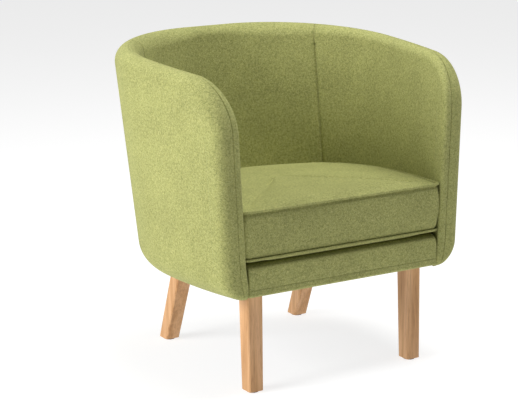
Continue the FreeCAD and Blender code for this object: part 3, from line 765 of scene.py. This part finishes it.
def ramp(nodes, links, value, stops):
    node = nodes.new("ShaderNodeValToRGB")
    node.color_ramp.elements[0].position = stops[0][0]
    node.color_ramp.elements[0].color = (*stops[0][1], 1)
    node.color_ramp.elements[1].position = stops[-1][0]
    node.color_ramp.elements[1].color = (*stops[-1][1], 1)
    for position, colour in stops[1:-1]:
        element = node.color_ramp.elements.new(position)
        element.color = (*colour, 1)
    links.new(value, node.inputs["Fac"])
    return node.outputs["Color"]


def mix(nodes, links, kind, factor, a, b):
    node = nodes.new("ShaderNodeMix")
    node.data_type = "RGBA"
    node.blend_type = kind
    node.inputs["Factor"].default_value = factor
    links.new(a, node.inputs["A"])
    links.new(b, node.inputs["B"])
    return node.outputs["Result"]


def bump(nodes, links, height, strength, distance, normal=None):
    node = nodes.new("ShaderNodeBump")
    node.inputs["Strength"].default_value = strength
    node.inputs["Distance"].default_value = distance
    links.new(height, node.inputs["Height"])
    if normal is not None:
        links.new(normal, node.inputs["Normal"])
    return node.outputs["Normal"]


def scaled_place(nodes, links, scale):
    where = nodes.new("ShaderNodeTexCoord").outputs["Object"]
    node = nodes.new("ShaderNodeMapping")
    node.inputs["Scale"].default_value = scale
    links.new(where, node.inputs["Vector"])
    return node.outputs["Vector"]


def melange_felt(name, tint):
    """Wool felt of mixed yellow-green and darker fibres with a soft nap."""
    material, nodes, links, shader = new_material(name)
    where = nodes.new("ShaderNodeTexCoord").outputs["Object"]
    fine = noise(nodes, links, where, 620, 4, 0.75)
    clumps = noise(nodes, links, where, 210, 3, 0.65)
    drift = noise(nodes, links, where, 14, 2, 0.5)

    def shade(r, g, b):
        return (r * tint, g * tint, b * tint)
    flecks = ramp(nodes, links, fine, [(0.32, shade(0.24, 0.255, 0.072)),
                                       (0.5, shade(0.405, 0.415, 0.150)),
                                       (0.68, shade(0.60, 0.59, 0.27))])
    groups = ramp(nodes, links, clumps, [(0.34, (0.74, 0.77, 0.71)), (0.5, (0.98, 0.98, 0.97)),
                                         (0.66, (1.20, 1.17, 1.15))])
    slow = ramp(nodes, links, drift, [(0.35, (0.95, 0.95, 0.95)), (0.65, (1.04, 1.04, 1.04))])
    colour = mix(nodes, links, "MULTIPLY", 1.0, flecks, groups)
    colour = mix(nodes, links, "MULTIPLY", 1.0, colour, slow)
    links.new(colour, shader.inputs["Base Color"])
    coarse = bump(nodes, links, clumps, 0.55, 0.0009)
    links.new(bump(nodes, links, fine, 0.5, 0.0005, coarse), shader.inputs["Normal"])
    shader.inputs["Roughness"].default_value = 0.95
    shader.inputs["Specular IOR Level"].default_value = 0.15
    shader.inputs["Sheen Weight"].default_value = 0.12
    shader.inputs["Sheen Roughness"].default_value = 0.5
    shader.inputs["Sheen Tint"].default_value = (0.86, 0.9, 0.55, 1)
    return material


def oak(name):
    """Light oak with upright grain, pores and slow colour drift."""
    material, nodes, links, shader = new_material(name)
    grain_place = scaled_place(nodes, links, (1.0, 1.0, 0.045))
    streaks = noise(nodes, links, grain_place, 190, 6, 0.62)
    rings = noise(nodes, links, grain_place, 52, 3, 0.5)
    pore_place = scaled_place(nodes, links, (1.0, 1.0, 0.02))
    pores = noise(nodes, links, pore_place, 900, 2, 0.5)
    body = ramp(nodes, links, rings, [(0.34, (0.60, 0.315, 0.130)), (0.5, (0.72, 0.41, 0.195)),
                                      (0.66, (0.80, 0.48, 0.255))])
    lines = ramp(nodes, links, streaks, [(0.36, (0.82, 0.78, 0.74)), (0.55, (1.0, 1.0, 1.0))])
    marks = ramp(nodes, links, pores, [(0.33, (0.70, 0.62, 0.55)), (0.42, (1.0, 1.0, 1.0))])
    colour = mix(nodes, links, "MULTIPLY", 1.0, body, lines)
    colour = mix(nodes, links, "MULTIPLY", 0.8, colour, marks)
    links.new(colour, shader.inputs["Base Color"])
    links.new(bump(nodes, links, pores, 0.25, 0.0003), shader.inputs["Normal"])
    shader.inputs["Roughness"].default_value = 0.5
    shader.inputs["Specular IOR Level"].default_value = 0.35
    return material


def plain(name, colour, rough, scale=400, metal=0.0, strength=0.2):
    """A hidden or small part's finish with fine unevenness."""
    material, nodes, links, shader = new_material(name)
    where = nodes.new("ShaderNodeTexCoord").outputs["Object"]
    grain = noise(nodes, links, where, scale, 3, 0.6)
    dark = tuple(c * 0.85 for c in colour)
    light = tuple(min(c * 1.12, 1.0) for c in colour)
    links.new(ramp(nodes, links, grain, [(0.35, dark), (0.65, light)]), shader.inputs["Base Color"])
    links.new(bump(nodes, links, grain, strength, 0.0003), shader.inputs["Normal"])
    shader.inputs["Roughness"].default_value = rough
    shader.inputs["Metallic"].default_value = metal
    return material


felt = melange_felt("melange_felt", 0.90)
thread = plain("felt_thread", (0.34, 0.36, 0.14), 0.8, 900)
finishes = {
    "melange_felt": felt,
    "foam": plain("foam", (0.85, 0.82, 0.70), 0.9, 500),
    "fibreboard": plain("fibreboard", (0.42, 0.28, 0.16), 0.8, 600),
    "frame_timber": plain("frame_timber", (0.66, 0.48, 0.28), 0.7, 90),
    "webbing": plain("webbing", (0.12, 0.11, 0.10), 0.85, 700),
    "black_cloth": plain("black_cloth", (0.025, 0.025, 0.027), 0.9, 1200),
    "oak": oak("oak"),
    "glide_plastic": plain("glide_plastic", (0.04, 0.035, 0.03), 0.45, 300),
    "zinc_steel": plain("zinc_steel", (0.62, 0.63, 0.64), 0.35, 800, 1.0),
    "zip_tape": plain("zip_tape", (0.20, 0.23, 0.08), 0.85, 900),
    "zip_nylon": plain("zip_nylon", (0.24, 0.26, 0.11), 0.4, 900),
    "zip_metal": plain("zip_metal", (0.55, 0.54, 0.50), 0.3, 800, 1.0),
}


def paint(piece, material):
    piece.data.materials.clear()
    piece.data.materials.append(material)


wall_pieces = [outer_cover, inner_right, inner_left, inner_back, rail]
cushion_pieces = [cushion, piping_top, piping_bottom]
stitches = [stitch_right, stitch_left, *rail_stitches]
for piece in wall_pieces + cushion_pieces:
    paint(piece, felt)
for piece in stitches:
    paint(piece, thread)
for piece in wall_pieces + stitches:
    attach(piece, "chair")
for piece in cushion_pieces:
    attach(piece, "cushion")

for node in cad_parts.values():
    slots = [m.name.split(".")[0] for m in node.data.materials if m]
    finish = next((finishes[s] for s in slots if s in finishes), None)
    if finish is not None:
        for number in range(len(node.data.materials)):
            node.data.materials[number] = finish


# Floor, light and camera

def make_floor():
    mesh = bmesh.new()
    bmesh.ops.create_grid(mesh, x_segments=1, y_segments=1, size=14)
    floor = finish_mesh(mesh, "floor")
    material, nodes, links, shader = new_material("floor_paint")
    shader.inputs["Base Color"].default_value = (0.35, 0.35, 0.35, 1)
    shader.inputs["Emission Color"].default_value = (1, 1, 1, 1)
    shader.inputs["Emission Strength"].default_value = 0.80
    shader.inputs["Roughness"].default_value = 0.9
    shader.inputs["Specular IOR Level"].default_value = 0.0
    paint(floor, material)


def soft_light(name, place_at, aim, size, power):
    data = bpy.data.lights.new(name, "AREA")
    data.shape = "RECTANGLE"
    data.size, data.size_y = size, size
    data.energy = power
    lamp = bpy.data.objects.new(name, data)
    bpy.context.scene.collection.objects.link(lamp)
    lamp.location = place_at
    lamp.rotation_mode = "QUATERNION"
    lamp.rotation_quaternion = (Vector(aim) - Vector(place_at)).to_track_quat("-Z", "Y")


def make_light():
    make_floor()
    world = bpy.data.worlds.new("studio")
    world.use_nodes = True
    background = world.node_tree.nodes["Background"]
    background.inputs["Color"].default_value = (1, 1, 1, 1)
    background.inputs["Strength"].default_value = 0.03
    bpy.context.scene.world = world
    bpy.context.scene.view_settings.view_transform = "Standard"
    soft_light("key", (-3.0, 0.15, 1.55), (0, 0, 0.5), 1.6, 88)
    soft_light("top", (0.7, -0.2, 3.8), (0, 0, 0.4), 2.2, 132)


def make_camera():
    data = bpy.data.cameras.new("camera")
    data.lens = camera_lens
    data.sensor_width = 36
    camera = bpy.data.objects.new("camera", data)
    bpy.context.scene.collection.objects.link(camera)
    back = Vector((math.sin(camera_azimuth) * math.cos(camera_elevation),
                   -math.cos(camera_azimuth) * math.cos(camera_elevation), math.sin(camera_elevation)))
    camera.location = camera_target + back * camera_distance
    camera.rotation_mode = "QUATERNION"
    camera.rotation_quaternion = (-back).to_track_quat("-Z", "Y")
    data.clip_end = 60
    bpy.context.scene.camera = camera


make_light()
make_camera()
